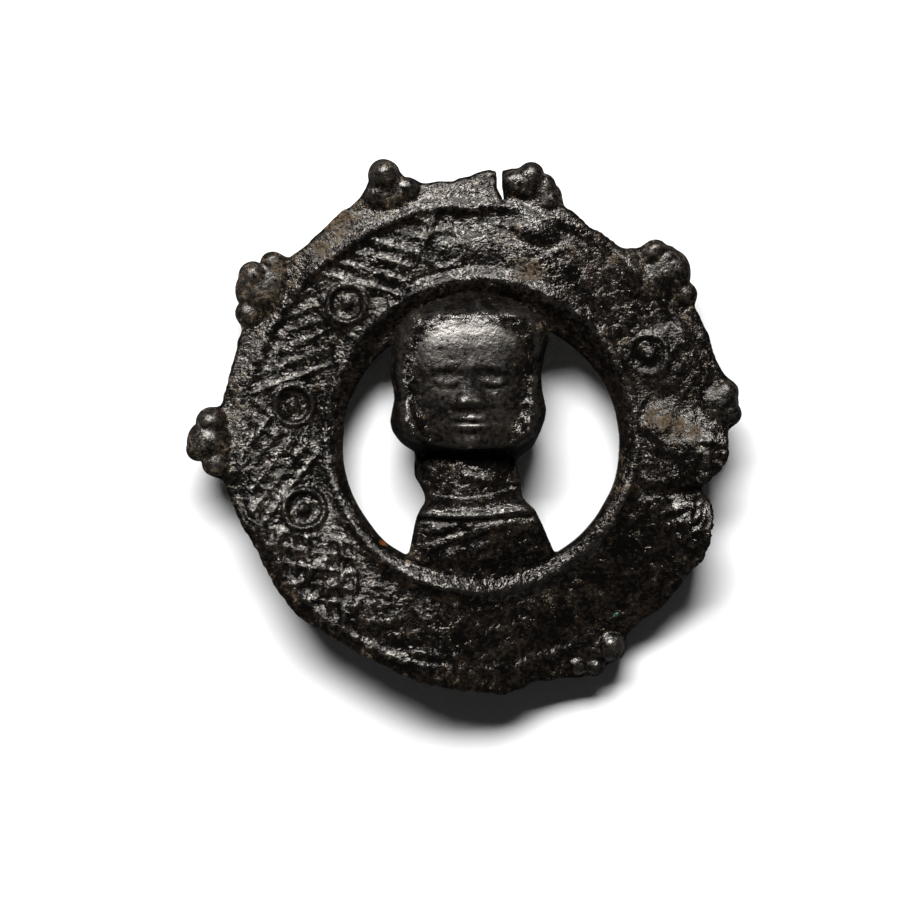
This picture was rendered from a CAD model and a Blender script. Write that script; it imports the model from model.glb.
import bpy
import numpy as np
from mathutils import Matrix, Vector


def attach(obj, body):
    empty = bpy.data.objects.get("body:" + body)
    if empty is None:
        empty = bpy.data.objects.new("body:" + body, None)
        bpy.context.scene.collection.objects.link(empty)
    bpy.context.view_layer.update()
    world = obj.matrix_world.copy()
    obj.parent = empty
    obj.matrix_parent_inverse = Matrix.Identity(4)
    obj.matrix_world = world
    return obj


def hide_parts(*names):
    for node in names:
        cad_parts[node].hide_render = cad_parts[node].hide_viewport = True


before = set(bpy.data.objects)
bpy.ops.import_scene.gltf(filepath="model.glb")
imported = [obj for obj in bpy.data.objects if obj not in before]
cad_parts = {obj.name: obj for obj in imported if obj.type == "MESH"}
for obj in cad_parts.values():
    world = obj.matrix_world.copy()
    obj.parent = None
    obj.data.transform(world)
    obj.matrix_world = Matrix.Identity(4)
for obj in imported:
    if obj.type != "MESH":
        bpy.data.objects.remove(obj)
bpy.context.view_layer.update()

# Everything is worked out in millimetres about the ring's centre, with the back of the ring at height 0,
# and carried to the frame's place as it goes into a mesh. Each dictionary whose name ends in Look holds
# what a user would change in the piece beside it, with lengths in millimetres and angles in degrees.
place = {"ringX": 0.6885, "ringY": -0.6453, "ringZ": 2.6}


# Small helpers on arrays
def smoothStep(low, high, x):
    # 0 below low, 1 above high, a cubic ease between; low may be above high
    t = np.clip((x - low) / (high - low), 0, 1)
    return t * t * (3 - 2 * t)


def smoothMax(a, b, width):
    # the larger of two fields, the corner between them filled over a width
    h = np.clip(0.5 + 0.5 * (a - b) / width, 0, 1)
    return b + (a - b) * h + width * h * (1 - h)


def smoothMin(a, b, width):
    # the smaller of two, the corner rounded over a width
    return -smoothMax(-a, -b, width)


def bump(distance, width):
    # a bell: e to minus the square of distance over width
    return np.exp(-(distance / width) ** 2)


def hump(share):
    # 1 less the square of a share, and 0 past its ends
    return np.clip(1 - share ** 2, 0, 1)


def degreesOf(x, y):
    # the angle about the ring's centre, counter-clockwise from the right
    return np.degrees(np.arctan2(y, x)) % 360


def polar(radius, angle):
    # the point at a distance and an angle from the ring's centre
    return np.array([radius * np.cos(np.radians(angle)), radius * np.sin(np.radians(angle))])


def toSegment(x, y, start, end):
    # distance to a straight segment, and how far along it the nearest point lies, 0 to 1
    run = np.subtract(end, start)
    t = np.clip(((x - start[0]) * run[0] + (y - start[1]) * run[1]) / (run @ run), 0, 1)
    return np.hypot(x - start[0] - t * run[0], y - start[1] - t * run[1]), t


def curve(x, rows, column):
    # a smooth line through a table's rows: straight between them, then averaged over half a step each side
    table = np.array(rows, float)
    order = np.argsort(table[:, 0])
    at, values = table[order, 0], table[order, column]
    fine = np.linspace(at[0], at[-1], 600)
    straight = np.interp(fine, at, values)
    half = max(2, int(300 / len(at) * 0.8))
    padded = np.pad(straight, half, mode="edge")
    kernel = np.hanning(2 * half + 1)
    return np.interp(x, fine, np.convolve(padded, kernel / kernel.sum(), mode="valid"))


absent = -9.0  # the height of a part where it has nothing
lattice = np.random.default_rng(41).uniform(-1, 1, (8, 256, 256))  # eight layers of values for the noise


def noise(x, y, size, layer=0):
    # random values on a square lattice of the given cell size, joined by a smooth step
    u, v = x / size + 17.3 * layer, y / size + 5.9 * layer
    i, j = np.floor(u).astype(int), np.floor(v).astype(int)
    s, t = u - i, v - j
    s, t = s * s * (3 - 2 * s), t * t * (3 - 2 * t)
    table = lattice[layer % 8]
    i0, i1, j0, j1 = i % 256, (i + 1) % 256, j % 256, (j + 1) % 256
    low = table[j0, i0] * (1 - s) + table[j0, i1] * s
    high = table[j1, i0] * (1 - s) + table[j1, i1] * s
    return low * (1 - t) + high * t


def roughNoise(x, y, size, layer=0, octaves=3):
    # noise added at half the size and half the height, octave by octave, on axes turned each time
    total, height = 0, 1.0
    for step in range(octaves):
        total = total + height * noise(x, y, size, layer + step)
        x, y = 0.8 * x - 0.6 * y, 0.6 * x + 0.8 * y
        size, height = size / 2, height / 2
    return total / 1.8  # so that three octaves stay between -1 and 1


ringLook = {
    "radius": 14.5, "edgeRound": 0.17, "backRound": 0.22,
    "openingX": 0.316, "openingY": -0.345, "openingRx": 8.02, "openingRy": 7.59, "rimX": 0.3, "rimY": 0.15,
    "openingRound": 0.25, "overlap": 0.12, "lapRadius": 8.1, "crackHalf": 0.02, "crackWidens": 0.13,
    "warp": 0.13, "ragged": 0.17, "lumps": 0.050, "pits": 0.026, "nubs": 0.032,
    "pelletBlend": 0.60, "pelletMiddle": 0.80, "pelletMerge": 0.45, "pelletBase": 0.57,
    "pelletRough": 0.5, "bustRough": 0.22, "edgeSoft": 0.65, "wallUndercut": 0.03,
    "backRough": 0.02, "thinnest": 0.05, "spareTop": 0.8,
    # how far the ring, and how far its edge, is bent up: angle, rise
    "raised": [
        (0, -0.25), (22, -0.3), (45, -0.05), (65, 0.35), (100, 0.0), (140, -0.6), (175, -0.9), (200, -0.55),
        (220, 0.05), (245, 0.6), (262, 0.6), (278, -0.05), (292, -0.6), (310, -0.6), (325, -0.25), (340, 0.0),
        (352, -0.15), (360, -0.25),
    ],
    "bentUp": [
        (0, 0.85), (14, 0.72), (30, 0.48), (60, 0.05), (150, 0.15), (180, 1.1), (200, 1.3), (218, 0.6),
        (240, 0.2), (258, 0.28), (275, 0.08), (290, -0.45), (303, -0.7), (315, -0.5), (326, 0.0), (336, 0.45),
        (348, 0.8), (360, 0.85),
    ],
    # the broken edge: angle, share of the radius
    "edge": [
        (70, 0.985), (61, 0.945), (52, 0.955), (47, 1.02), (40, 1.05), (33, 1.015), (25, 1.01), (16, 1.01),
        (10, 1.03), (4, 1.01), (0, 1.0), (-4, 1.0), (-7, 0.985), (-10, 0.945), (-12.5, 0.905), (-15, 0.96),
        (-19, 1.0), (-24, 1.02), (-29, 1.02), (-34, 1.005), (-42, 0.995), (-50, 0.99), (-57, 1.03),
        (-66, 1.045), (-77, 1.005), (-84, 1.02), (-93, 1.0), (-103, 0.985), (-112, 0.96), (-121, 0.965),
        (-132, 0.98), (-142, 0.985), (-151, 0.97), (-161, 0.98), (-170, 1.01), (-178, 1.06), (-185, 1.02),
        (-195, 1.01), (-207, 1.02), (-213, 1.05), (-219, 1.06), (-226, 1.02), (-234, 1.03), (-243, 1.05),
        (-250, 1.08), (-256, 1.035), (-265, 1.02), (-273, 1.07), (-280, 1.06),
    ],
    # the band's section from the opening out: radius, height, height at the ring's foot
    "section": [
        (7.0, 0.7, 1.2), (7.8, 0.82, 1.38), (8.1, 1.02, 1.5), (8.35, 1.3, 1.6), (8.6, 1.56, 1.7),
        (8.82, 1.73, 1.79), (9.02, 1.73, 1.8), (9.22, 1.53, 1.56), (9.6, 1.34, 1.34), (10.4, 1.34, 1.34),
        (11.2, 1.31, 1.31), (12.2, 1.21, 1.21), (12.8, 1.16, 1.16), (13.02, 1.24, 1.24), (13.22, 1.42, 1.42),
        (13.42, 1.44, 1.44), (13.66, 1.28, 1.28), (14.0, 1.14, 1.14), (14.6, 1.0, 1.0), (17.0, 0.75, 0.75),
    ],
    # the section with bead or border worn away: radius, height
    "noBead": [(0, 0.7), (7.8, 0.82), (8.1, 1.02), (8.5, 1.28), (9.0, 1.38), (17, 1.38)],
    "noBorder": [(0, 1.2), (12.4, 1.12), (13.9, 0.98), (17, 0.75)],
    # how much of the rim's bead, and of the outer border, wear has left: angle, share
    "rimWear": [
        (0, 0.45), (35, 0.5), (70, 0.45), (100, 0.35), (140, 0.35), (200, 0.35), (240, 0.75), (270, 1.1),
        (300, 1.15), (325, 0.95), (345, 0.6), (360, 0.45),
    ],
    "borderWear": [
        (0, 0.3), (30, 0.4), (60, 0.4), (90, 0.45), (110, 0.8), (135, 0.75), (155, 0.4), (185, 0.3),
        (205, 0.6), (225, 0.85), (245, 0.65), (270, 0.4), (300, 0.35), (330, 0.3), (360, 0.3),
    ],
    # cast pellets on the edge, and low lumps that join them: angle, distance and radius as shares of the
    # ring's radius, share of a ball's height
    "pellets": [
        (109.2, 1.102, 0.066, 1.0), (112.0, 1.036, 0.052, 0.75), (105.3, 1.024, 0.05, 0.7),
        (109.4, 1.045, 0.085, 0.45), (81.3, 1.024, 0.054, 0.75), (77.9, 1.06, 0.056, 0.85),
        (74.6, 1.033, 0.05, 0.6), (73.2, 0.998, 0.058, 0.45), (78.8, 1.032, 0.064, 0.7),
        (45.8, 1.022, 0.054, 0.8), (39.8, 1.042, 0.05, 0.7), (34.6, 1.012, 0.046, 0.6),
        (39.6, 0.925, 0.044, 0.7), (40.5, 1.005, 0.095, 0.45), (43.0, 1.03, 0.06, 0.6),
        (10.4, 1.01, 0.044, 0.7), (5.5, 1.013, 0.044, 0.75), (8.0, 0.975, 0.072, 0.5),
        (-56.8, 1.0, 0.062, 0.9), (-62.0, 1.034, 0.038, 0.9), (-65.4, 1.0, 0.034, 0.9),
        (-60.5, 0.985, 0.065, 0.4), (182.1, 1.09, 0.052, 0.75), (176.5, 1.05, 0.06, 0.9),
        (185.5, 1.032, 0.056, 0.7), (180.6, 1.055, 0.085, 0.6), (144.0, 1.092, 0.06, 0.95),
        (141.1, 1.02, 0.052, 0.6), (151.0, 1.03, 0.056, 0.7), (139.2, 1.06, 0.05, 0.65),
        (145.5, 1.04, 0.1, 0.5),
    ],
    # the crack at the top: across, up
    "crack": [(1.67, 13.62), (1.40, 14.50), (1.36, 17.0)],
}

ornamentLook = {
    "ringRadius": 1.08, "wire": 0.18, "wireRise": 0.19, "dishDepth": 0.10,
    "pelletRadius": 0.33, "pelletRise": 0.24,
    "hatchLines": 6, "hatchWidth": 0.14, "hatchRise": 0.12, "hatchLeast": 0.35,
    "outer": 13.2, "inner": 9.15,
    # ring-and-pellet motifs, clockwise: angle, distance, relief left by wear, relief of the cell that
    # follows, share of its second lines
    "motifs": [
        (133.5, 10.7, 1.0, 0.9, 0.45), (99.5, 11.0, 0.28, 0.15, 0.3), (62.0, 11.0, 0.15, 0.35, 0.5),
        (25.9, 11.05, 0.5, 0.45, 0.4), (-10.0, 11.0, 0.1, 0.1, 0.3), (-47.0, 11.0, 0.06, 0.15, 0.3),
        (-83.0, 11.0, 0.1, 0.45, 0.6), (-120.0, 11.0, 0.14, 1.5, 1.0), (-157.3, 10.6, 1.0, 0.8, 0.9),
        (-190.6, 10.58, 1.0, 0.5, 0.3),
    ],
}

bustLook = {
    "middleX": -0.3, "crown": 7.70, "chin": -1.0, "faceWidth": 6.5, "headDepth": 3.42, "hairDepth": 2.45,
    "hairWidth": 8.9, "neckDepth": 1.8, "chestDepth": 2.15, "hairRound": 0.8, "dressRound": 0.4,
    "hairline": 0.89, "hairLift": 0.05, "hairBase": 0.70, "strand": 0.045, "furrow": 0.07,
    "crownSink": 1.1, "chinSink": 1.4, "neckHalf": 3.05, "neckCrease": 0.10, "chestSlope": 0.19, "seam": 0.12,
    "grain": 0.07, "lowest": -8.2, "highest": 8.6,
    # the collar's upper edge: height, slant, sag
    "collar": (-4.28, 0.10, 0.10),
    # the bust's edges in the opening: height, left, right
    "edges": [
        (-7.6, -4.1, 5.0), (-6.4, -3.75, 4.5), (-5.7, -3.6, 4.15), (-5.0, -3.46, 3.86), (-4.5, -3.33, 3.62),
        (-4.05, -3.1, 3.38), (-3.7, -2.85, 2.98), (-3.3, -2.84, 2.66), (-2.7, -3.1, 2.6), (-2.2, -3.4, 2.58),
        (-1.6, -3.42, 2.4), (-1.2, -3.38, 2.3), (-0.8, -3.45, 2.9), (-0.45, -4.05, 3.35), (-0.1, -4.4, 3.55),
        (0.4, -4.7, 3.82), (1.0, -4.82, 4.02), (1.6, -4.72, 4.08), (2.2, -4.6, 3.95), (2.8, -4.66, 3.82),
        (3.6, -4.82, 3.78), (4.4, -4.8, 3.95), (5.0, -4.76, 4.06), (5.6, -4.6, 4.28), (6.4, -4.4, 4.2),
        (7.2, -3.7, 3.3), (7.8, -2.8, 2.2), (8.3, -1.2, 0.6),
    ],
    # the head's dome from chin to crown: height and depth as shares
    "dome": [
        (-0.06, 0.4), (0.04, 0.66), (0.16, 0.82), (0.35, 0.9), (0.52, 0.97), (0.62, 1.0), (0.72, 0.97),
        (0.8, 0.9), (0.87, 0.8), (0.93, 0.68), (0.99, 0.5), (1.05, 0.28), (1.14, -0.1),
    ],
    # the face's outline: height and half width as shares
    "face": [
        (-0.02, 0.1), (0.0, 0.3), (0.05, 0.52), (0.14, 0.7), (0.28, 0.87), (0.42, 0.96), (0.56, 1.0),
        (0.68, 0.98), (0.76, 0.9), (0.84, 0.72), (0.92, 0.5),
    ],
    # locks: start and end across and up, as shares of half the hair's width and of the head's height, radius,
    # rise above the dome at the start and at the end
    "locks": [
        (-0.72, 0.86, -0.86, 0.3, 1.6, 0.05, 0.45), (-0.84, 0.27, -0.76, 0.15, 1.6, 0.55, 0.6),
        (0.72, 0.86, 0.86, 0.3, 1.55, 0.05, 0.3), (0.84, 0.27, 0.77, 0.15, 1.55, 0.36, 0.42),
    ],
    # folds of the dress: start and end across and up, rise
    "folds": [
        (-2.85, -5.45, -1.2, -5.0, 0.1), (-1.3, -5.75, 1.45, -5.05, 0.1), (-2.6, -6.35, -1.5, -5.8, 0.07),
        (-0.3, -6.65, 0.9, -5.95, 0.09), (1.3, -6.75, 3.15, -5.85, 0.08), (1.7, -5.55, 3.0, -5.15, 0.06),
    ],
}


# Outlines, as distances inside the edge
def edgeTable():
    # the broken edge's radius every quarter degree: straight between the rows, averaged over four degrees,
    # plus two sizes of noise
    rows = sorted((angle % 360, share) for angle, share in ringLook["edge"])
    angles, shares = np.array(rows).T
    fine = np.arange(0, 360, 0.25)
    straight = np.interp(fine, angles, shares, period=360)
    kernel = np.hanning(17)
    smooth = np.convolve(np.r_[straight[-8:], straight, straight[:8]], kernel / kernel.sum(), mode="valid")
    x, y = polar(14, fine)
    ragged = roughNoise(x, y, 1.3, 3, 2) + 0.45 * roughNoise(x, y, 0.42, 6, 2)
    return fine, smooth * ringLook["radius"] + ringLook["ragged"] * ragged


edgeAngles, edgeRadii = edgeTable()


def ringInside(x, y):
    # distance inside the flange's edge: its radius at the point's angle less the point's
    return np.interp(degreesOf(x, y), edgeAngles, edgeRadii, period=360) - np.hypot(x, y)


def crackInside(x, y):
    # distance outside the narrow break at the top, which widens outwards
    foot, knee, head = ringLook["crack"]
    away = np.minimum(toSegment(x, y, foot, knee)[0], toSegment(x, y, knee, head)[0])
    return away - ringLook["crackHalf"] - ringLook["crackWidens"] * smoothStep(13.6, 14.5, y)


def openingOutside(x, y):
    # distance outside the opening's ellipse: the point's share of its size less 1, over that share's growth
    u, v = x - ringLook["openingX"], y - ringLook["openingY"]
    rx, ry = ringLook["openingRx"], ringLook["openingRy"]
    k = np.hypot(u / rx, v / ry)
    return (k - 1) * k / (np.hypot(u / rx ** 2, v / ry ** 2) + 1e-9)


def bustInside(x, y):
    # distance inside the nearer of the bust's two edges, less where that edge slopes
    step = 0.05
    gaps = []
    for column, sign in ((1, 1), (2, -1)):
        edge = curve(y, bustLook["edges"], column)
        slope = (curve(y + step, bustLook["edges"], column) - edge) / step
        gaps.append(sign * (x - edge) / np.hypot(1, np.clip(slope, -1.5, 1.5)))
    return np.where((y > bustLook["lowest"]) & (y < bustLook["highest"]), np.minimum(*gaps), -5.0)


def pelletFields(x, y):
    # distance inside the nearest pellet, and top and bottom of its ball, whose half height is the root of its
    # radius squared less the distance squared
    within = np.full(x.shape, absent)
    top, bottom = np.full(x.shape, absent), np.full(x.shape, -absent)
    middle, base = ringLook["pelletMiddle"], ringLook["pelletBase"]
    for angle, distance, radius, share in ringLook["pellets"]:
        centre = polar(distance * ringLook["radius"], angle)
        size = radius * ringLook["radius"]
        gap = np.hypot(x - centre[0], y - centre[1])
        height = np.sqrt(np.clip(size ** 2 - gap ** 2, 0, None))
        within = np.maximum(within, size - gap)
        top = np.where(gap < size, smoothMax(top, middle + share * height, 0.15), top)
        bottom = np.where(gap < size, np.minimum(bottom, np.maximum(base - height, 0)), bottom)
    return within, top, bottom


def warped(x, y):
    # the casting isn't true: each point is looked up a little to one side, by slow noise
    amount = ringLook["warp"]
    return x + amount * roughNoise(x, y, 2.4, 1, 2), y + amount * roughNoise(x, y, 2.4, 4, 2)


def inside(x, y):
    # distance inside the casting: ring and pellets joined, less crack, less the opening beside the bust
    u, v = warped(x, y)
    ring = smoothMin(ringInside(u, v), crackInside(u, v), 0.08)
    outer = smoothMax(ring, pelletFields(u, v)[0], ringLook["pelletBlend"])
    outer = smoothMin(outer, crackInside(u, v), 0.08)
    hole = smoothMax(openingOutside(u, v), bustInside(u, v), 0.35)
    return smoothMin(outer, hole, 0.05)


# Relief of the front
def bandHeight(x, y):
    # the section turned about the ring's centre, near the rim about the rim's own, mixed by wear with the
    # sections without bead and border
    look = ringLook
    radius, angle = np.hypot(x, y), degreesOf(x, y)
    rimRadius = np.hypot(x - look["rimX"], y - look["rimY"])
    mixed = rimRadius + (radius - rimRadius) * smoothStep(9.4, 12.2, radius)
    mixed = mixed + 0.06 * roughNoise(x, y, 1.3, 2)
    radii, common, foot = np.array(look["section"]).T
    atFoot = smoothStep(212, 245, angle) * smoothStep(352, 330, angle)
    height = np.interp(mixed, radii, common) * (1 - atFoot) + np.interp(mixed, radii, foot) * atFoot
    noBead = np.interp(mixed, *np.array(look["noBead"]).T)
    height = height + (noBead - height) * smoothStep(9.7, 9.3, mixed) * (1 - curve(angle, look["rimWear"], 1))
    noBorder = np.interp(mixed, *np.array(look["noBorder"]).T)
    worn = 1 - curve(angle, look["borderWear"], 1)
    return height + (noBorder - height) * smoothStep(12.3, 12.9, mixed) * worn


def hatching(x, y, first, last, relief, second):
    # bells across lines ruled parallel to the sides of the triangle between two motifs, which stands on its
    # point, and the two sides themselves. A point's shares a and b of the sides count the lines
    look = ornamentLook
    foot = polar(look["inner"], (first + last) / 2)
    near, far = polar(look["outer"], first) - foot, polar(look["outer"], last) - foot
    whole = near[0] * far[1] - near[1] * far[0]
    a = ((x - foot[0]) * far[1] - (y - foot[1]) * far[0]) / whole
    b = ((y - foot[1]) * near[0] - (x - foot[0]) * near[1]) / whole
    lines, width, least = look["hatchLines"], look["hatchWidth"], look["hatchLeast"]
    spacing = abs(whole) / np.hypot(*near) / lines
    acrossA, acrossB = (np.abs((share * lines + 0.5) % 1 - 0.5) * spacing for share in (a, b))
    ruled = np.maximum(bump(acrossB, width * 1.35), second * bump(acrossA, width))
    within = smoothStep(13.4, 12.9, np.hypot(x, y))
    edge = smoothStep(-0.02, 0.02, a) * smoothStep(-0.02, 0.02, b) * within
    sides = np.minimum(toSegment(x, y, foot, foot + near)[0], toSegment(x, y, foot, foot + far)[0])
    # wear breaks the lines up
    left = least + (1 - least) * smoothStep(-0.45, 0.30, roughNoise(x, y, 0.85, 2, 2))
    return relief * look["hatchRise"] * ruled * edge * left, bump(sides, width) * within


def ornament(x, y):
    # the highest of all cells, and over it each motif: a hoop round a dish with half a ball in the middle
    look = ornamentLook
    total = np.zeros(x.shape)
    motifs = look["motifs"]
    for number, (angle, distance, relief, following, second) in enumerate(motifs):
        nextAngle = motifs[(number + 1) % len(motifs)][0] - (360 if number == len(motifs) - 1 else 0)
        lines, sides = hatching(x, y, angle, nextAngle, following, second)
        total = np.maximum(total, lines)
        total = np.maximum(total, sides * look["hatchRise"] * max(relief, 0.3) * 0.85)
    for angle, distance, relief, following, second in motifs:
        centre = polar(distance, angle)
        gap = np.hypot(x - centre[0], y - centre[1])
        hoop = bump(gap - look["ringRadius"], look["wire"]) * look["wireRise"]
        dish = -look["dishDepth"] * smoothStep(look["ringRadius"], look["ringRadius"] - 0.25, gap)
        pellet = np.sqrt(hump(gap / look["pelletRadius"])) * look["pelletRise"]
        near = gap < look["ringRadius"] + 0.25
        total = np.where(near, total * (1 - relief) + relief * (hoop + dish + pellet), total)
    return total


bendLook = {
    # crest of the fold at the right: height, fall per millimetre, waviness, start of the climb above it
    "crest": (0.35, 0.18, 0.70, 1.9),
    # the fold: rise, share lost below the crest, wrinkles. The lip's height, and the groove under it
    "fold": (0.44, 0.60, 0.030), "lip": -2.55, "groove": 0.26,
    # the lobe below: rise, and its ripples as a mound
    "lobe": 0.62, "ripples": (12.3, -4.9, 1.7, 2.4, 15, 0.050, 1),
    # swellings and dents: across, up, half length, half width, turn, rise, power
    "mounds": [
        (13.9, -5.6, 0.9, 2.4, 4, 0.3, 0.8), (13.15, -5.5, 0.75, 0.45, 65, 0.16, 1),
        (12.75, -4.0, 0.8, 0.3, 75, 0.1, 1), (12.6, -7.2, 0.7, 0.35, 40, 0.14, 1),
        (11.3, 4.7, 2.2, 2.0, 30, 0.15, 1), (9.0, 9.4, 1.8, 1.1, -50, 0.28, 1),
        (3.4, 12.0, 1.6, 0.9, -20, 0.25, 1), (-0.8, 12.2, 1.7, 1.0, 0, -0.16, 1),
        (-13.4, -3.2, 1.4, 1.2, 70, -0.15, 1), (-6.6, -10.2, 1.7, 0.8, -40, 0.16, 1),
    ],
    # creases: start and end across and up, rise
    "creases": [
        (-9.0, -9.1, -7.7, -8.2, 0.16), (-10.1, -8.3, -9.0, -7.3, 0.13), (-7.6, -10.4, -6.5, -9.4, 0.14),
        (-3.6, -12.2, -1.2, -12.6, 0.12), (-11.5, -6.2, -10.6, -5.2, 0.1),
    ],
}


def mound(x, y, middleX, middleY, halfLength, halfWidth, turn, height, power):
    # 1 less the squares of the shares along and across a turned ellipse, to a power, times the height
    c, s = np.cos(np.radians(turn)), np.sin(np.radians(turn))
    along = ((x - middleX) * c + (y - middleY) * s) / halfLength
    across = ((y - middleY) * c - (x - middleX) * s) / halfWidth
    return height * np.clip(1 - along ** 2 - across ** 2, 0, 1) ** power


def bends(x, y):
    # a fold that climbs to a crest, sinks below it and ends at a lip over a groove, a lobe below it, waves on
    # both, then mounds and creases
    crest, fall, wander, climb = bendLook["crest"]
    foldRise, loss, wrinkle = bendLook["fold"]
    fromCrest = y - (crest - fall * (x - 11) + wander * roughNoise(x, y, 1.2, 4, 3))
    lipY = bendLook["lip"] - 0.20 * np.sin((x - 9.3) * 0.8) - 0.12 * (x - 11)
    upper = smoothStep(climb, -0.1, fromCrest)
    lip = smoothStep(lipY - 0.45, lipY + 0.35, y)
    fold = foldRise * upper * (1 - loss * smoothStep(-0.2, -3.0, fromCrest)) * lip * smoothStep(8.9, 10.6, x)
    rise = fold * (1 + 0.14 * roughNoise(x, y, 0.7, 1, 3))
    rise = rise - bendLook["groove"] * bump(y - lipY + 0.28, 0.30) * smoothStep(10.0, 12.6, x)
    waves = np.sin(y * 9.0 + x * 1.2 + 3 * roughNoise(x, y, 1.1, 2, 2))
    rise += wrinkle * waves * upper * lip * smoothStep(11.8, 13.2, x)
    lobe = smoothStep(-2.9, -5.6, y) * smoothStep(-9.2, -6.2, y) * smoothStep(10.6, 13.0, x)
    waves = np.sin((y * 0.85 - x * 0.5) * 8.0 + 2.5 * roughNoise(x, y, 0.9, 6, 2))
    rise += bendLook["lobe"] * lobe + waves * mound(x, y, *bendLook["ripples"])
    for row in bendLook["mounds"]:
        rise += mound(x, y, *row)
    for startX, startY, endX, endY, height in bendLook["creases"]:
        rise += height * bump(toSegment(x, y, (startX, startY), (endX, endY))[0], 0.24)
    return rise


# Relief of the bust
def facePlace(x, y):
    # across in half face widths and up from chin to crown, 0 to 1
    return ((x - bustLook["middleX"]) / (bustLook["faceWidth"] / 2),
            (y - bustLook["chin"]) / (bustLook["crown"] - bustLook["chin"]))


faceLook = {
    # soft features: across in half face widths, up from chin to crown, half sizes, rise over the depth
    "features": [
        (0.42, 0.560, 0.30, 0.040, 0.022),    # brow
        (0.40, 0.490, 0.24, 0.050, -0.045),   # socket
        (0.155, 0.335, 0.07, 0.026, 0.028),   # wing of the nose
        (0.0, 0.275, 0.05, 0.020, -0.014),    # groove under the nose
        (0.0, 0.138, 0.26, 0.022, -0.016),    # hollow under the lip
        (0.0, 0.080, 0.26, 0.045, 0.030),     # chin
        (0.52, 0.340, 0.22, 0.100, 0.020),    # cheek
    ],
    # eye: across, up, half sizes, rise. Lid over it: half length, arch, half width, rise
    "eye": (0.40, 0.475, 0.235, 0.036, 0.052), "lid": (0.27, 0.040, 0.011, 0.022),
    # nose: top, length, half width at the top and gained, rise at the top and gained
    "nose": (0.545, 0.235, 0.075, 0.085, 0.022, 0.085),
    # mouth: up, half length, bend, depth. Lips: up from its line, half size, rise
    "mouth": (0.206, 0.31, 0.010, 0.022), "lips": [(0.024, 0.022, 0.022), (-0.025, 0.024, 0.026)],
}


def faceHeight(x, y):
    # bells for soft features, half balls under arched lids for eyes, a ridge that widens downwards for the
    # nose, a bent line between two rolls for the mouth; and how far inside the face each point lies
    u, v = facePlace(x, y)
    side = np.abs(u)
    within = 1 - side / np.clip(curve(v, bustLook["face"], 1), 0.05, None)
    within = smoothMin(within, (bustLook["hairline"] - 0.09 * u ** 2 - v) * 2.4, 0.25)
    added = np.zeros(x.shape)
    for across, up, halfX, halfY, rise in faceLook["features"]:
        added += rise * bump(side - across, halfX) * bump(v - up, halfY)
    eyeX, eyeY, halfX, halfY, rise = faceLook["eye"]
    added += rise * np.clip(1 - ((side - eyeX) / halfX) ** 2 - ((v - eyeY) / halfY) ** 2, 0, 1) ** 0.5
    half, arch, width, rise = faceLook["lid"]
    arc = eyeY + arch * np.sqrt(hump((side - eyeX) / half))
    added += rise * bump(v - arc, width) * (np.abs(side - eyeX) < half)
    top, length, half, spread, rise, gained = faceLook["nose"]
    down = np.clip((top - v) / length, 0, 1)
    rise = (rise + gained * down ** 1.2) * smoothStep(0.292, 0.340, v) * smoothStep(0.64, 0.54, v)
    added += rise * hump(u / (2.2 * (half + spread * down))) ** 1.2
    up, half, bend, depth = faceLook["mouth"]
    mouth, line = hump(u / half), up + bend * (u / half) ** 2
    for up, half, rise in faceLook["lips"]:
        added += mouth ** 0.6 * rise * bump(v - line - up, half)
    added -= depth * mouth ** 0.5 * bump(v - line, 0.008)
    return bustLook["headDepth"] * added * smoothStep(0.0, 0.25, within), within


def headHeight(x, y):
    # one dome over face and hair, a furrow where they meet, and hair combed down in waves from a parting
    # and bobbed into a roll on each side
    look = bustLook
    half, tall = look["hairWidth"] / 2, look["crown"] - look["chin"]
    u, v = (x - look["middleX"]) / half, facePlace(x, y)[1]
    dome = np.clip(1 - np.abs(u) ** 3.4, 0, 1) ** 0.55 * curve(v, look["dome"], 1)
    base = look["hairDepth"] * look["hairBase"]
    features, within = faceHeight(x, y)
    furrow = bump(within + 0.06, 0.20) * smoothStep(0.02, 0.15, v) * smoothStep(0.80, 0.62, v)
    height = base + (look["headDepth"] - base) * dome + features - look["furrow"] * furrow
    hair = smoothStep(0.14, -0.34, within)
    swell = np.zeros(x.shape)
    for x0, y0, x1, y1, radius, rise, last in look["locks"]:
        start = (look["middleX"] + x0 * half, look["chin"] + y0 * tall)
        end = (look["middleX"] + x1 * half, look["chin"] + y1 * tall)
        away, along = toSegment(x, y, start, end)
        lock = (rise + (last - rise) * along) * hump(away / radius) ** 2
        swell = smoothMax(swell, lock, 0.2)
    strands = np.sin((np.abs(u) * 2.6 + 0.25 * np.sin(v * 6.0) + 0.12 * roughNoise(x, y, 1.6, 5)) * 9.0)
    rough = 0.24 * roughNoise(x, y, 0.80, 1, 3) + 0.09 * roughNoise(x, y, 0.36, 4, 2)
    raised = hair * (look["hairLift"] + swell + look["strand"] * strands + rough)
    return height + raised - look["crownSink"] * smoothStep(0.90, 1.08, v)


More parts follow.
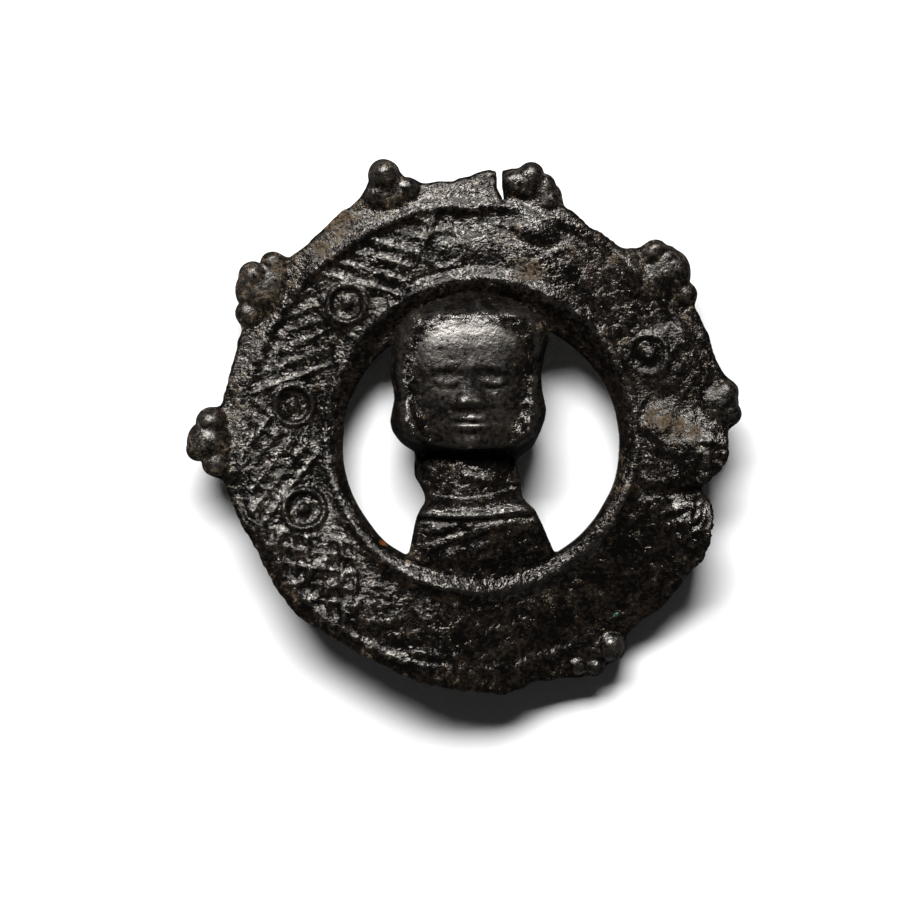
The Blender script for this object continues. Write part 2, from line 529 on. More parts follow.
def bustHeight(x, y):
    # the highest of head, neck and chest. The neck is half an ellipse across, with a low crease. The chest
    # climbs from it to the collar's edge and sinks slowly below, with soft folds
    look = bustLook
    u, v = facePlace(x, y)
    underChin = look["chinSink"] * smoothStep(0.06, -0.06, v - 0.07 * u ** 2)
    head = np.where((v > -0.06) & (v < 1.25), headHeight(x, y) - underChin, -1.0)
    across = np.clip(1 - ((x - look["middleX"]) / look["neckHalf"]) ** 2, 0.02, 1)
    neck = look["neckDepth"] * across ** 0.4 * smoothStep(-4.3, -3.2, y) * smoothStep(0.1, -0.9, y)
    neck += look["neckCrease"] * bump(toSegment(x, y, (-0.6, -2.15), (1.1, -2.4))[0], 0.24) * across
    chestAcross = hump((x - 0.3) / (4.6 - 0.35 * (y + 5)))
    collarY, slant, sag = look["collar"]
    collarLine = collarY + slant * np.clip((x - 0.5) / 2.2, -1, 1) - sag * hump(x / 2.8)
    climb = smoothStep(-2.75, -4.15, y - 0.05 * x)
    foot = look["neckDepth"] * 0.78
    chest = foot + (look["chestDepth"] + 0.28 - foot) * climb
    chest = chest * (0.80 + 0.20 * chestAcross ** 0.5) - look["chestSlope"] * np.clip(collarLine - y, 0, 3)
    chest += look["seam"] * (bump(y - collarLine, 0.13) - bump(y - collarLine + 0.30, 0.16))
    for x0, y0, x1, y1, rise in look["folds"]:
        away, along = toSegment(x, y, (x0, y0), (x1, y1))
        chest += rise * bump(away, 0.25) * (0.35 + 0.65 * np.sin(np.pi * np.clip(along, 0.05, 0.95)))
        side = away * np.sign((x - x0) * (y1 - y0) - (y - y0) * (x1 - x0))
        chest = chest - 0.5 * rise * bump(side - 0.42, 0.2)
    chest += look["grain"] * roughNoise(x, y, 0.7, 6) - 0.30 * smoothStep(-6.6, -8.0, y)
    return np.maximum(smoothMax(neck, np.where(y < -2.4, chest, -1.0), 0.12), head)


def roundOff(edge, radius):
    # how far a quarter circle of this radius lies below the flat, near an edge
    near = np.clip(radius - edge, 0, radius)
    return radius - np.sqrt(np.clip(radius ** 2 - near ** 2, 0, None))


def heights(x, y):
    # front and back height of the casting. The front is the higher of ring and pellets, and the bust inside
    # the opening, whose head laps the ledge at the top. The back is flat, and rounded at its edges and under
    # the pellets that stand out. Both are then bent a little out of true together
    look = ringLook
    u, v = warped(x, y)
    edge = np.clip(inside(x, y), 0, None)
    ringEdge = smoothMin(ringInside(u, v), crackInside(u, v), 0.08)
    pelletEdge, pelletTop, pelletBottom = pelletFields(u, v)
    onlyPellet = (ringEdge <= 0) & (pelletEdge > 0)
    hole, bustEdge = openingOutside(u, v), bustInside(u, v)

    rough = look["lumps"] * (roughNoise(x, y, 1.7, 0, 2) + 0.45 * roughNoise(x, y, 0.62, 3, 2))
    pits = smoothStep(0.30, 0.85, roughNoise(x, y, 0.50, 5, 2))
    nubs = smoothStep(0.20, 0.80, roughNoise(x, y, 0.46, 7, 2))
    rough = rough - look["pits"] * pits + look["nubs"] * nubs
    band = bandHeight(u, v) + ornament(u, v) + bends(u, v) + rough
    soft = look["edgeSoft"] * look["edgeRound"] * np.clip(1 - ringEdge / look["edgeRound"], 0, 1) ** 2
    band = np.where(ringEdge > 0, band - soft, absent)
    pelletTop = np.where(pelletEdge > 0, pelletTop + look["pelletRough"] * rough, absent)
    ring = np.where(pelletEdge > 0, smoothMax(band, pelletTop, look["pelletMerge"]), band)
    ring = np.where(onlyPellet, pelletTop, ring)

    bust = bustHeight(u, v) + look["bustRough"] * rough * (1 + 2.5 * smoothStep(-3.9, -4.6, v))
    dress, hair = bustLook["dressRound"], bustLook["hairRound"]
    radius = dress + (hair - dress) * smoothStep(-1.4, -0.4, v)
    bust = bust - roundOff(np.clip(bustEdge, 0, None), radius) * smoothStep(0.9, -0.2, hole)
    rimInner, reach = np.hypot(u - look["rimX"], v - look["rimY"]), look["overlap"]
    useBust = (bustEdge > -reach) & ((hole < 0) | (rimInner < look["lapRadius"]))
    rounded = ring - roundOff(np.clip(hole, 0, None), look["openingRound"]) * (bustEdge < 0)
    ringTop = np.where(hole > -reach, rounded, absent)
    top = np.where(useBust & ((bustEdge > 0) | (hole < -0.02)), smoothMax(bust, ringTop, 0.20), ringTop)
    top = np.where(top < absent / 2, np.where(useBust, bust, look["spareTop"]), top)

    least = look["backRough"]
    back = least + least * roughNoise(x, y, 2.0, 7, 3) + roundOff(edge, look["backRound"])
    back = np.clip(np.where(onlyPellet, np.clip(pelletBottom, least, None), back), 0, None)
    top = np.maximum(top, back + look["thinnest"])
    radius, angle = np.hypot(x, y), degreesOf(x, y)
    shift = curve(angle, look["raised"], 1) * smoothStep(5.0, 9.5, radius)
    shift = shift + curve(angle, look["bentUp"], 1) * smoothStep(7.5, 15.5, radius)
    return top + shift, back + shift


# From fields to a closed mesh
def blurred(field, mask, times=6):
    # average over a growing square of the points on the casting
    total, weight = field * mask, mask.astype(float)
    for axis in (0, 1):
        for step in range(times):
            total = (np.roll(total, 1, axis) + total * 2 + np.roll(total, -1, axis)) / 4
            weight = (np.roll(weight, 1, axis) + weight * 2 + np.roll(weight, -1, axis)) / 4
    return total / np.maximum(weight, 1e-6)


# what a cell keeps, by its corners on the casting (1, 2, 4, 8 counter-clockwise from the lower left): rings
# of corners c0..c3 and cut edges e0..e3, and the cut edges that bound it
cellKinds = {
    1: (["c0 e0 e3"], ["e0 e3"]), 2: (["c1 e1 e0"], ["e1 e0"]), 3: (["c0 c1 e1 e3"], ["e1 e3"]),
    4: (["c2 e2 e1"], ["e2 e1"]), 5: (["c0 e0 e3", "c2 e2 e1"], ["e0 e3", "e2 e1"]),
    6: (["c1 c2 e2 e0"], ["e2 e0"]), 7: (["c0 c1 c2 e2 e3"], ["e2 e3"]), 8: (["c3 e3 e2"], ["e3 e2"]),
    9: (["c0 e0 e2 c3"], ["e0 e2"]), 10: (["c1 e1 e0", "c3 e3 e2"], ["e1 e0", "e3 e2"]),
    11: (["c0 c1 e1 e2 c3"], ["e1 e2"]), 12: (["c2 c3 e3 e1"], ["e3 e1"]),
    13: (["c0 e0 e1 c2 c3"], ["e0 e1"]), 14: (["c1 c2 c3 e3 e0"], ["e3 e0"]), 15: (["c0 c1 c2 c3"], []),
}


def addObject(name, data):
    made = bpy.data.objects.new(name, data)
    bpy.context.scene.collection.objects.link(made)
    return made


def meshObject(name, points, faces, smooth=True):
    # points in metres, and groups of faces, each an array with a row of point numbers per face
    mesh = bpy.data.meshes.new(name)
    mesh.vertices.add(len(points))
    mesh.vertices.foreach_set("co", np.ascontiguousarray(points, np.float32).ravel())
    loops = np.concatenate([group.ravel() for group in faces])
    sizes = np.concatenate([np.full(len(group), group.shape[1]) for group in faces])
    mesh.loops.add(len(loops))
    mesh.loops.foreach_set("vertex_index", loops.astype(np.int32))
    mesh.polygons.add(len(sizes))
    mesh.polygons.foreach_set("loop_start", np.r_[0, np.cumsum(sizes)[:-1]].astype(np.int32))
    mesh.update(calc_edges=True)
    mesh.validate()
    mesh.polygons.foreach_set("use_smooth", np.full(len(mesh.polygons), smooth))
    return addObject(name, mesh)


def sharpen(made, pairs, count):
    # marks the edges between pairs of points as sharp
    ends = np.empty(2 * len(made.data.edges), np.int32)
    made.data.edges.foreach_get("vertices", ends)
    ends = np.sort(ends.reshape(-1, 2), axis=1).astype(np.int64)
    wanted = np.sort(np.concatenate(pairs), axis=1).astype(np.int64)
    flags = np.isin(ends[:, 0] * count + ends[:, 1], wanted[:, 0] * count + wanted[:, 1])
    made.data.edges.foreach_set("use_edge_sharp", flags)


def addAttribute(made, name, values):
    # one number for each point, which the finish reads by name
    attribute = made.data.attributes.new(name, "FLOAT", "POINT")
    attribute.data.foreach_set("value", np.ascontiguousarray(values, np.float32))


def toFrame(x, y, z):
    # from millimetres about the ring's centre to the frame's metres
    return np.stack([x + place["ringX"], y + place["ringY"], z + place["ringZ"]], axis=-1) / 1000


meshLook = {
    # side of a cell, the grid's west, east, south and north ends, how near a cut comes to a corner
    "step": 0.118, "ends": (-17.4, 16.6, -15.8, 17.4), "nearest": 0.12,
    # slopes between which the finish turns dull
    "steepFrom": 0.55, "steepTo": 1.3,
}


def cutGrid(field, x, y, step, count):
    # where the casting's edge crosses the grid's horizontal and then its vertical edges, in proportion to the
    # field at both ends: the cut points' places, and on each edge their numbers, counted on from the given
    cutX, cutY, cuts = [], [], []
    for axis in (1, 0):
        first, second = [slice(None), slice(None)], [slice(None), slice(None)]
        first[axis], second[axis] = slice(None, -1), slice(1, None)
        a, b = field[tuple(first)], field[tuple(second)]
        crossing = (a > 0) != (b > 0)
        share = np.clip(a / np.where(crossing, a - b, 1), meshLook["nearest"], 1 - meshLook["nearest"])
        numbers = np.full(a.shape, -1)
        numbers[crossing] = count + np.arange(crossing.sum())
        count += crossing.sum()
        cutX.append((x[tuple(first)] + step * share * (axis == 1))[crossing])
        cutY.append((y[tuple(first)] + step * share * (axis == 0))[crossing])
        cuts.append(numbers)
    return np.concatenate(cutX), np.concatenate(cutY), cuts


def makeCasting():
    # a square grid cut along the casting's outline, with a front, a back and a wall between, which is
    # undercut a little half way down
    step, (west, east, south, north) = meshLook["step"], meshLook["ends"]
    xs, ys = np.arange(west, east, step), np.arange(south, north, step)
    x, y = np.meshgrid(xs, ys)
    field = inside(x, y)
    on = field > 0
    top, back = heights(x, y)
    corner = np.full(x.shape, -1)
    corner[on] = np.arange(on.sum())
    edgeX, edgeY, (horizontal, vertical) = cutGrid(field, x, y, step, on.sum())
    edgeTop, edgeBack = heights(edgeX, edgeY)
    allX, allY = np.r_[x[on], edgeX], np.r_[y[on], edgeY]
    allTop, allBack = np.r_[top[on], edgeTop], np.r_[back[on], edgeBack]

    parts = {"c0": corner[:-1, :-1], "c1": corner[:-1, 1:], "c2": corner[1:, 1:], "c3": corner[1:, :-1],
             "e0": horizontal[:-1], "e1": vertical[:, 1:], "e2": horizontal[1:], "e3": vertical[:, :-1]}
    kind = on[:-1, :-1] * 1 + on[:-1, 1:] * 2 + on[1:, 1:] * 4 + on[1:, :-1] * 8
    front, rim = [], []
    for number, (rings, bounding) in cellKinds.items():
        chosen = kind == number
        for words, group in [(ring, front) for ring in rings] + [(pair, rim) for pair in bounding]:
            group.append(np.stack([parts[word][chosen] for word in words.split()], axis=-1))
    rim = np.concatenate(rim)

    # the wall's points lie at half height, a little inwards along the field's slope at the nearest node
    slopeY, slopeX = np.gradient(field, step)
    nearest = np.round((edgeY - ys[0]) / step).astype(int), np.round((edgeX - xs[0]) / step).astype(int)
    outX, outY = -slopeX[nearest], -slopeY[nearest]
    inwards = ringLook["wallUndercut"] / (np.hypot(outX, outY) + 1e-6)
    wallX, wallY = edgeX - inwards * outX, edgeY - inwards * outY
    total, cutCount = len(allX), len(edgeX)
    points = np.concatenate([toFrame(allX, allY, allTop), toFrame(allX, allY, allBack),
                             toFrame(wallX, wallY, (edgeTop + edgeBack) / 2)])
    behind = [group[:, ::-1] + total for group in front]
    a, b = rim[:, 0], rim[:, 1]
    middleA, middleB = a - on.sum() + 2 * total, b - on.sum() + 2 * total
    walls = [np.stack([b, a, middleA, middleB], axis=-1),
             np.stack([middleB, middleA, a + total, b + total], axis=-1)]
    made = meshObject("castBadge", points, front + behind + walls)
    sharpen(made, [rim, rim + total], len(points))

    # for the finish: hollows by height against a blurred copy, steep or dull places, earth, and calm places,
    # which are the face and the pellets
    hollow = blurred(top, on, 10) - top
    slopeY, slopeX = np.gradient(top, step)
    whole = blurred(on.astype(float), np.ones(on.shape, bool), 2) > 0.999
    steep = smoothStep(meshLook["steepFrom"], meshLook["steepTo"], np.hypot(slopeX, slopeY))
    steep = blurred(np.where(whole, steep, 1.0), on, 2)
    steep = np.maximum(np.r_[steep[on], np.ones(cutCount)], patchAmount(allX, allY, earthLook["dull"]))
    calm = smoothStep(-0.10, 0.12, faceHeight(allX, allY)[1])
    calm = calm * smoothStep(-0.05, 0.05, facePlace(allX, allY)[1])
    calm = np.maximum(calm, 0.6 * smoothStep(0.02, 0.30, pelletFields(*warped(allX, allY))[0]))
    addAttribute(made, "hollow", np.r_[hollow[on], np.zeros(cutCount), np.zeros(total), np.zeros(cutCount)])
    addAttribute(made, "earth", earthAmount(np.r_[allX, allX, wallX], np.r_[allY, allY, wallY]))
    addAttribute(made, "steep", np.r_[steep, np.full(total, 0.5), np.ones(cutCount)])
    addAttribute(made, "calm", np.r_[calm, np.zeros(total), np.zeros(cutCount)])
    triangles = sum(len(group) * (group.shape[1] - 2) for group in front + behind + walls)
    print("casting made:", len(points), "points,", triangles, "triangles")
    return made


earthLook = {
    # where earth has stayed: across, up, radius, amount
    "patches": [
        (-7.8, 12.7, 1.5, 1.15), (-8.9, 10.9, 0.8, 1.05), (-11.2, 10.1, 1.3, 0.85), (-5.0, 13.8, 1.6, 0.45),
        (-12.6, 8.6, 1.0, 0.3), (2.9, 9.6, 1.0, 1.1), (2.0, 11.5, 1.2, 0.45), (7.8, 10.3, 1.0, 0.6),
        (4.0, 6.2, 0.5, 0.8), (5.6, 10.6, 1.6, 0.5), (10.0, 8.6, 1.0, 0.45), (10.1, 1.2, 0.6, 1.35),
        (10.9, 0.95, 0.48, 1.45), (11.7, 0.65, 0.6, 1.4), (12.5, 0.25, 0.6, 1.2), (11.2, 0.3, 0.7, 0.7),
        (8.2, -3.0, 0.5, 0.6), (7.9, -4.6, 0.5, 0.6), (8.3, -1.0, 0.5, 0.5), (-13.9, 1.6, 1.0, 0.5),
        (-14.3, -0.8, 0.9, 0.45), (0.0, 14.3, 1.5, 0.35), (-11.9, -8.9, 1.2, 0.45), (-8.5, -11.9, 1.2, 0.4),
        (-2.0, -14.0, 1.6, 0.4), (-3.6, -6.6, 0.8, 0.6), (8.2, 5.6, 0.8, 0.4), (13.2, 1.2, 0.7, 0.4),
    ],
    # and along the flange: angle, amount
    "flange": [
        (0, 0.15), (40, 0.35), (60, 0.3), (80, 0.32), (100, 0.3), (135, 0.55), (160, 0.45), (200, 0.35),
        (235, 0.3), (270, 0.2), (300, 0.12), (360, 0.15),
    ],
    # where the surface has no gloss: across, up, radius, share
    "dull": [
        (10.6, 3.4, 2.1, 0.85), (12.3, 2.4, 1.6, 0.65), (10.8, 6.0, 1.2, 0.35), (11.6, -0.9, 1.3, 0.6),
        (11.2, 0.9, 1.6, 0.74), (10.3, -2.0, 1.0, 0.5), (1.0, 9.9, 1.2, 0.5), (-2.5, 11.2, 1.4, 0.45),
        (13.8, 2.6, 1.0, 0.8), (-7.9, 12.2, 1.4, 0.55), (-10.0, 10.9, 1.0, 0.4),
    ],
}


def patchAmount(x, y, patches):
    # the largest of a list of soft round patches at each point
    amount = np.zeros(x.shape)
    for cx, cy, radius, share in patches:
        amount = np.maximum(amount, share * bump(np.hypot(x - cx, y - cy), radius))
    return amount


def earthAmount(x, y):
    # the larger of the flange's amount at the point's angle, outside the border, and the patches
    flange = smoothStep(13.35, 13.8, np.hypot(x, y)) * curve(degreesOf(x, y), earthLook["flange"], 1)
    return np.maximum(flange, patchAmount(x, y, earthLook["patches"]))


casting = makeCasting()
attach(casting, "root")
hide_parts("casting")


fasteningLook = {
    # in the frame's own millimetres: the pin's axis, the block it passes through, the hook it rests in
    "pinX": 0.3885, "pinZ": 1.09, "boreRadius": 0.59,
    "blockHalf": 1.69, "blockTop": 3.0, "blockFrom": 3.37, "blockTo": 5.34, "blockMiddle": 4.35,
    "blockRough": 0.03, "blockPower": 7,
    "hookHalf": 0.88, "hookMiddle": -7.245, "hookPower": 5,
    # the block's ends, from the rounded edge to the bore: steps in from the end, shares of the way
    "blockEnd": [(0.22, 0), (0.066, 0.035), (0, 0.14), (0, 0.9), (0.08, 1.0)],
    # the hook's path from the ring: across, up, half thickness
    "hookPath": [
        (1.43, 3.0, 0.42), (1.43, 2.3, 0.42), (1.43, 1.6, 0.4), (1.43, 1.0, 0.38), (1.4, 0.62, 0.35),
        (1.16, 0.34, 0.28), (0.75, 0.25, 0.25), (0.39, 0.25, 0.25), (0.0, 0.25, 0.25), (-0.42, 0.28, 0.27),
        (-0.68, 0.42, 0.32), (-0.76, 0.62, 0.36), (-0.76, 0.8, 0.3),
    ],
}


def gridFaces(rows, columns, wrapRows=True):
    # quads of a grid whose columns close on themselves, and whose rows may
    i, j = np.meshgrid(np.arange(rows if wrapRows else rows - 1), np.arange(columns), indexing="ij")
    here, below, beside = i * columns, (i + 1) % rows * columns, (j + 1) % columns
    return np.stack([here + j, below + j, below + beside, here + beside], axis=-1).reshape(-1, 4)


def roundedSquare(columns, power):
    # points round a soft square of half side 1: those of a circle, carried out until the sum of both
    # coordinates' powers is 1
    t = np.linspace(0, 2 * np.pi, columns, endpoint=False)
    c, s = np.cos(t), np.sin(t)
    out = (np.abs(c) ** power + np.abs(s) ** power) ** (-1 / power)
    return c * out, s * out


def makeLug(columns=72):
    # a soft-cornered block, whose outline runs in at each end to a circle, the bore, and back through it
    look = fasteningLook
    across, up = roundedSquare(columns, look["blockPower"])
    tall = look["blockTop"] / 2
    x, z = look["pinX"] + look["blockHalf"] * across, tall + tall * up
    around = np.arctan2(z - look["pinZ"], x - look["pinX"])
    boreX = look["pinX"] + look["boreRadius"] * np.cos(around)
    boreZ = look["pinZ"] + look["boreRadius"] * np.sin(around)
    start, end = look["blockFrom"], look["blockTo"]
    sections = [(start + inwards, share) for inwards, share in look["blockEnd"]]
    sections += [(end - inwards, share) for inwards, share in look["blockEnd"][::-1]]
    y, share = (column[:, None] for column in np.array(sections).T)
    points = np.stack(np.broadcast_arrays(x + (boreX - x) * share, y, z + (boreZ - z) * share), axis=-1)
    # both ends are a little rough
    rough = roughNoise(points[..., 0] + points[..., 2], points[..., 1] - points[..., 2], 0.7, 3)
    middle = look["blockMiddle"]
    atEnd = np.abs(points[..., 1] - middle) > 0.9
    points[..., 1] += look["blockRough"] * rough * atEnd * np.sign(middle - points[..., 1])
    return meshObject("castLug", points.reshape(-1, 3) / 1000, [gridFaces(len(sections), columns)[:, ::-1]])


def makeHook(columns=40):
    # a soft square section carried along the hook's path, which shrinks at its last end
    look = fasteningLook
    path = np.array(look["hookPath"])
    fine = np.linspace(0, len(path) - 1, 6 * (len(path) - 1) + 1)
    px, pz, half = (np.interp(fine, np.arange(len(path)), path[:, k]) for k in range(3))
    for values in (px, pz, half):
        values[1:-1] = (values[:-2] + 2 * values[1:-1] + values[2:]) / 4
    ax, az = np.gradient(px), np.gradient(pz)
    length = np.hypot(ax, az)
    nx, nz = az / length, -ax / length
    ends = np.sqrt(np.clip(1 - (1 - np.clip(np.arange(len(px)) / 3, 0, 1)) ** 2, 0.02, 1))
    shrink = np.minimum(1, ends[::-1])
    along, outwards = roundedSquare(columns, look["hookPower"])
    across = (half * shrink)[:, None] * outwards
    sideways = (look["hookHalf"] * (0.15 + 0.85 * shrink))[:, None] * along
    points = np.stack([px[:, None] + nx[:, None] * across, look["hookMiddle"] + sideways,
                       np.maximum(pz[:, None] + nz[:, None] * across, 0)], axis=-1).reshape(-1, 3)
    rows = len(px)
    caps = [points[:columns].mean(axis=0), points[-columns:].mean(axis=0)]
    j, following = np.arange(columns), (np.arange(columns) + 1) % columns
    first = np.stack([j, following, np.full(columns, rows * columns)], axis=-1)
    last = np.stack([following, j, np.full(columns, columns + 1)], axis=-1) + (rows - 1) * columns
    points = np.vstack([points, caps]) / 1000
    return meshObject("castHook", points, [gridFaces(rows, columns, False), first, last])


lug, hook = makeLug(), makeHook()
for piece in (lug, hook):
    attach(piece, "root")
print("lug and hook made")


# Shader maths as expressions
class Socket:
    # wraps a node's output, so that an expression adds its Math nodes
    def __init__(self, graph, output):
        self.graph, self.output = graph, output

    def math(self, operation, first, second):
        return self.graph.node("ShaderNodeMath", {"operation": operation}, {0: first, 1: second})

    def __add__(self, other):
        return self.math("ADD", self, other)

    def __radd__(self, other):
        return self.math("ADD", other, self)

    def __sub__(self, other):
        return self.math("SUBTRACT", self, other)

    def __rsub__(self, other):
        return self.math("SUBTRACT", other, self)

    def __mul__(self, other):
        return self.math("MULTIPLY", self, other)

    def __rmul__(self, other):
        return self.math("MULTIPLY", other, self)

    def most(self, other):
        return self.math("MAXIMUM", self, other)

    def least(self, other):
        return self.math("MINIMUM", self, other)

    def between(self, low, high):
        # 0 below low, 1 above high, smooth between; low may be above high
        return self.graph.node("ShaderNodeMapRange", {"interpolation_type": "SMOOTHSTEP"},
                               {"Value": self, "From Min": low, "From Max": high})


class Graph:
    # a material, and the nodes that make it
    def __init__(self, name):
        self.material = bpy.data.materials.new(name)
        self.material.use_nodes = True
        self.tree = self.material.node_tree
        self.tree.nodes.clear()
        self.objectPlace = None

    def node(self, kind, settings=None, inputs=None, output=0):
        # its settings first, then the values or links of its sockets
        made = self.tree.nodes.new(kind)
        for key, value in (settings or {}).items():
            setattr(made, key, value)
        for key, value in (inputs or {}).items():
            if isinstance(value, Socket):
                self.tree.links.new(value.output, made.inputs[key])
            else:
                made.inputs[key].default_value = value
        return Socket(self, made.outputs[output])

    def place(self, offset=0.0):
        # the point's place, moved by the same amount along all three axes
        if not self.objectPlace:
            self.objectPlace = self.node("ShaderNodeTexCoord", output="Object")
        if not offset:
            return self.objectPlace
        inputs = {0: self.objectPlace, 1: (offset, offset, offset)}
        return self.node("ShaderNodeVectorMath", {"operation": "ADD"}, inputs)

    def noise(self, scale, detail, roughness=0.55, distortion=0.0, offset=0.0):
        return self.node("ShaderNodeTexNoise", None, {
            "Vector": self.place(offset), "Scale": scale, "Detail": detail, "Roughness": roughness,
            "Distortion": distortion}, "Fac")

    def attribute(self, name):
        return self.node("ShaderNodeAttribute", {"attribute_name": name}, None, "Fac")

    def away(self, centre):
        # the distance from a point
        inputs = {0: self.place(), 1: tuple(centre)}
        return self.node("ShaderNodeVectorMath", {"operation": "DISTANCE"}, inputs, "Value")

    def mix(self, amount, first, second):
        # two colours mixed: sockets 6 and 7 take them, and output 2 gives the result
        inputs = {0: amount}
        for index, value in ((6, first), (7, second)):
            inputs[index] = value if isinstance(value, Socket) else (*value, 1)
        return self.node("ShaderNodeMix", {"data_type": "RGBA"}, inputs, 2)

    def bumped(self, strength, distance, height):
        inputs = {"Strength": strength, "Distance": distance, "Height": height}
        return self.node("ShaderNodeBump", None, inputs, "Normal")

    def finish(self, inputs, dull=None, share=None):
        # one shader, or two mixed by a share of the second
        first = self.node("ShaderNodeBsdfPrincipled", None, inputs, "BSDF")
        if dull:
            second = self.node("ShaderNodeBsdfPrincipled", None, dull, "BSDF")
            first = self.node("ShaderNodeMixShader", None, {0: share, 1: first, 2: second})
        out = self.tree.nodes.new("ShaderNodeOutputMaterial")
        self.tree.links.new(first.output, out.inputs["Surface"])
        return self.material


patinaLook = {
    "black": (0.0012, 0.0010, 0.0008), "brown": (0.0205, 0.0140, 0.0098), "worn": (0.020, 0.017, 0.014),
    "earth": (0.120, 0.090, 0.060), "deepEarth": (0.040, 0.026, 0.015), "grit": (0.16, 0.14, 0.115),
    "green": (0.005, 0.045, 0.028), "orange": (0.19, 0.055, 0.014), "sheen": (1.0, 0.94, 0.87, 1),
    "roughLow": 0.09, "roughHigh": 0.22, "gloss": 0.71, "bumpDepth": 0.000085,
    "dullRough": 0.9, "dullGloss": 0.05, "crustDepth": 0.00022,
    # noises: scale, detail, roughness, distortion, offset
    "coarse": (420, 4), "middle": (1500, 4, 0.6, 0.2, 0.3), "fine": (4200, 3, 0.6, 0.2, 0.7),
    "speck": (9500, 2, 0.5, 0.0, 1.1),
    # where each mask starts and is full
    "brownFrom": (0.43, 0.66), "wornFrom": (0.58, 0.78), "soilFrom": (0.38, 0.8), "dustFrom": (0.15, 0.8),
    "grainsFrom": (0.42, 0.58), "gritFrom": (0.66, 0.74), "hollowFrom": (0.05, 0.16),
    "mattFrom": (0.55, 0.455), "roughFrom": (0.38, 0.62), "lumpsFrom": (0.48, 0.68),
    # how strong each is where it is full
    "wornShare": 0.6, "dustShare": 0.30, "gritShare": 0.8, "mattShare": 0.80, "calmShare": 0.62,
    # specks of colour on the front: across and up from the ring's centre, radius
    "greenSpeck": (8.22, -10.17, 0.17), "orangeSpeck": (-5.28, -5.98, 0.26),
}


def patina():
    # near-black corroded alloy: ramps over sums of noises mix in brown patches, paler metal, earth and dust,
    # grit and two specks in turn. A glossy and a dull shader are mixed by the largest of steepness, earth,
    # hollows and matt patches
    g = Graph("darkPatina")
    look = patinaLook
    hollow, earth, steep, calm = (g.attribute(name) for name in ("hollow", "earth", "steep", "calm"))
    coarse, middle, fine, speck = (g.noise(*look[name]) for name in ("coarse", "middle", "fine", "speck"))
    brownMask = (coarse * 0.3 + middle * 0.35 + fine * 0.35 + hollow * 0.2).between(*look["brownFrom"])
    wornMask = (middle * 0.5 + fine * 0.5 - hollow * 4.0).between(*look["wornFrom"]) * look["wornShare"]
    soil = earth * 0.70 + hollow * 0.3 + (middle - 0.5) * 2.2 + (fine - 0.5) * 1.2 + (speck - 0.5) * 0.8
    soil = soil.between(*look["soilFrom"])
    dust = earth * 0.8 + (middle - 0.5) * 0.8 + (speck - 0.5) * 0.6
    dust = dust.between(*look["dustFrom"]) * look["dustShare"]
    colour = g.mix(brownMask, look["black"], look["brown"])
    colour = g.mix(wornMask, colour, look["worn"])
    grains = (fine * 0.5 + speck * 0.5).between(*look["grainsFrom"])
    colour = g.mix(soil.most(dust), colour, g.mix(grains, look["deepEarth"], look["earth"]))
    gritMask = (speck * 0.7 + fine * 0.3).between(*look["gritFrom"]) * look["gritShare"]
    colour = g.mix(gritMask, colour, look["grit"])
    for name in ("green", "orange"):
        x, y, radius = look[name + "Speck"]
        centre = toFrame(x, y, heights(np.array([x]), np.array([y]))[0][0])
        spot = (g.away(centre) + (fine - 0.5) * 0.0003).between(radius / 1000, radius / 1600)
        colour = g.mix(spot, colour, look[name])
    matt = (middle * 0.5 + fine * 0.5 + calm * 0.09).between(*look["mattFrom"]) * look["mattShare"]
    low, high = look["roughLow"], look["roughHigh"]
    rough = (fine * 0.5 + coarse * 0.5).between(*look["roughFrom"]) * (high - low) + low
    rough = rough + dust * 0.5 + calm * 0.16
    relief = fine * 0.62 + speck * 0.18 + middle.between(*look["lumpsFrom"]) * 0.34
    relief = relief * (1 - calm * look["calmShare"])
    glossy = {"Base Color": colour, "Roughness": rough.least(0.9), "Specular IOR Level": look["gloss"],
              "Specular Tint": look["sheen"], "Normal": g.bumped(1.0, look["bumpDepth"], relief)}
    # the dull crust is black between its grains where it has no earth
    crustColour = g.mix((grains * 0.75 + 0.25).most(soil * 0.8), look["black"], colour)
    dull = {"Base Color": crustColour, "Roughness": look["dullRough"],
            "Specular IOR Level": look["dullGloss"], "Normal": g.bumped(1.0, look["crustDepth"], relief)}
    return g.finish(glossy, dull, steep.most(soil).most(hollow.between(*look["hollowFrom"])).most(matt))


wireLook = {
    "iron": (0.020, 0.016, 0.013), "rust": (0.085, 0.042, 0.020), "rustFrom": (0.46, 0.62), "metallic": 0.4,
    "coarse": (900, 4), "fine": (4200, 3, 0.6, 0.2, 0.4),
    "rough": 0.42, "rustRough": 0.35, "bumpDepth": 0.00006,
}


def wireMetal():
    # dark brown, with rusty patches where the sum of two noises is high
    g = Graph("wireMetal")
    look = wireLook
    coarse, fine = g.noise(*look["coarse"]), g.noise(*look["fine"])
    rust = (coarse * 0.6 + fine * 0.4).between(*look["rustFrom"])
    return g.finish({"Base Color": g.mix(rust, look["iron"], look["rust"]), "Metallic": look["metallic"],
                     "Roughness": rust * look["rustRough"] + look["rough"],
                     "Normal": g.bumped(0.6, look["bumpDepth"], fine)})


patinaFinish, wireFinish = patina(), wireMetal()
for piece in (casting, lug, hook):
    piece.data.materials.append(patinaFinish)
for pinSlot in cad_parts["pin"].material_slots:
    pinSlot.material = wireFinish
print("finishes made")


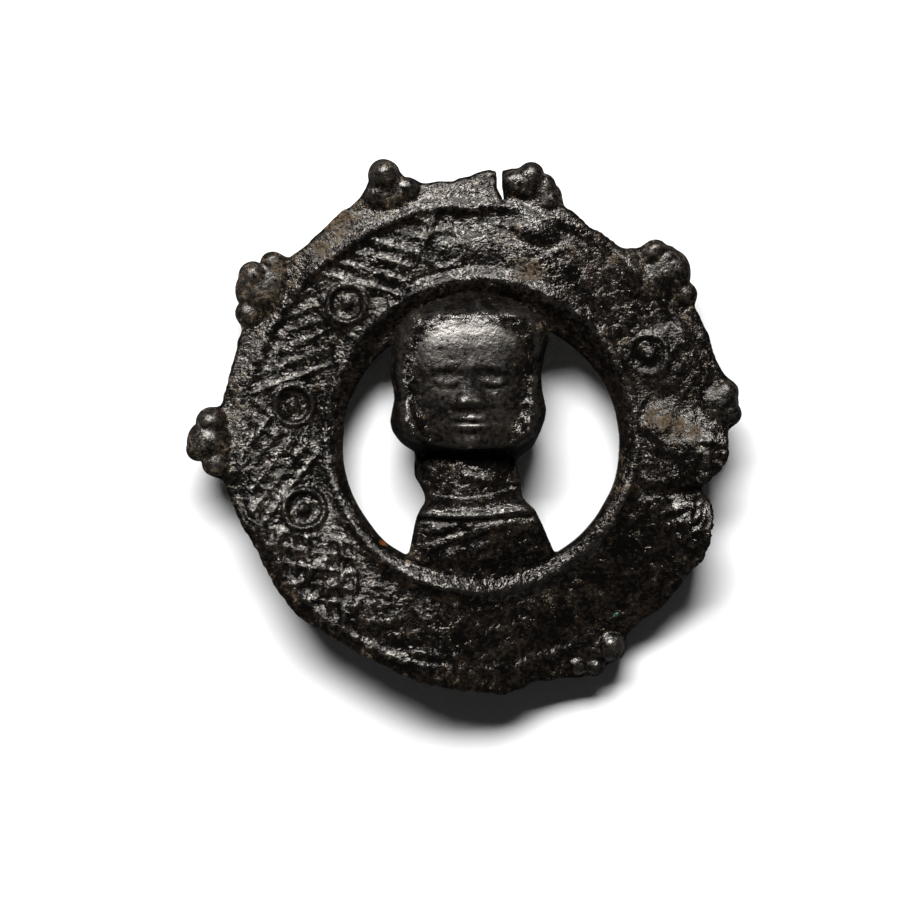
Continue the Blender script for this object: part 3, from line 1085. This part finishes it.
# Floor, light and camera, in metres and degrees
studioLook = {
    "floorColor": (0.93, 0.93, 0.93, 1), "floorRough": 0.9, "floorHalf": 0.6, "world": 0.025,
    "keyAim": 51.5, "keyAway": 0.45, "keyTurn": -11, "keyWidth": 0.28, "keyDepth": 0.12, "keyPower": 3.78,
    "viewX": -0.00075, "viewY": -0.00132, "viewWidth": 0.05172, "viewHeight": 0.0036,
    "lens": 85, "sensor": 36, "clipNear": 0.005, "clipFar": 10,
}


def makeFloor():
    half = studioLook["floorHalf"]
    points = np.array([(-half, -half, 0), (half, -half, 0), (half, half, 0), (-half, half, 0)])
    made = meshObject("studioFloor", points, [np.array([[0, 1, 2, 3]])], smooth=False)
    finish = {"Base Color": studioLook["floorColor"], "Roughness": studioLook["floorRough"]}
    made.data.materials.append(Graph("paleFloor").finish(finish))


def makeKeyLight():
    # a rectangle that looks at the origin; turn 0 is from +Y
    look = studioLook
    height, turn, away = np.radians(look["keyAim"]), np.radians(look["keyTurn"]), look["keyAway"]
    spot = Vector((away * np.cos(height) * np.sin(turn), away * np.cos(height) * np.cos(turn),
                   away * np.sin(height)))
    light = bpy.data.lights.new("keyLight", "AREA")
    light.shape, light.energy = "RECTANGLE", look["keyPower"]
    light.size, light.size_y = look["keyWidth"], look["keyDepth"]
    made = addObject("keyLight", light)
    made.location = spot
    made.rotation_euler = (-spot).to_track_quat("-Z", "Y").to_euler()


def makeWorld():
    world = bpy.data.worlds.new("softRoom")
    world.use_nodes = True
    inputs = world.node_tree.nodes["Background"].inputs
    inputs["Color"].default_value = (1, 1, 1, 1)
    inputs["Strength"].default_value = studioLook["world"]
    bpy.context.scene.world = world


def makeCamera():
    # straight down, from where the view has its width at the ring's height
    look = studioLook
    camera = bpy.data.cameras.new("camera")
    camera.lens, camera.sensor_width = look["lens"], look["sensor"]
    camera.clip_start, camera.clip_end = look["clipNear"], look["clipFar"]
    made = addObject("camera", camera)
    made.location = (look["viewX"], look["viewY"],
                     look["viewWidth"] * look["lens"] / look["sensor"] + look["viewHeight"])
    bpy.context.scene.camera = made


makeFloor()
makeKeyLight()
makeWorld()
makeCamera()
bpy.context.scene.view_settings.view_transform = "Standard"
print("studio made")
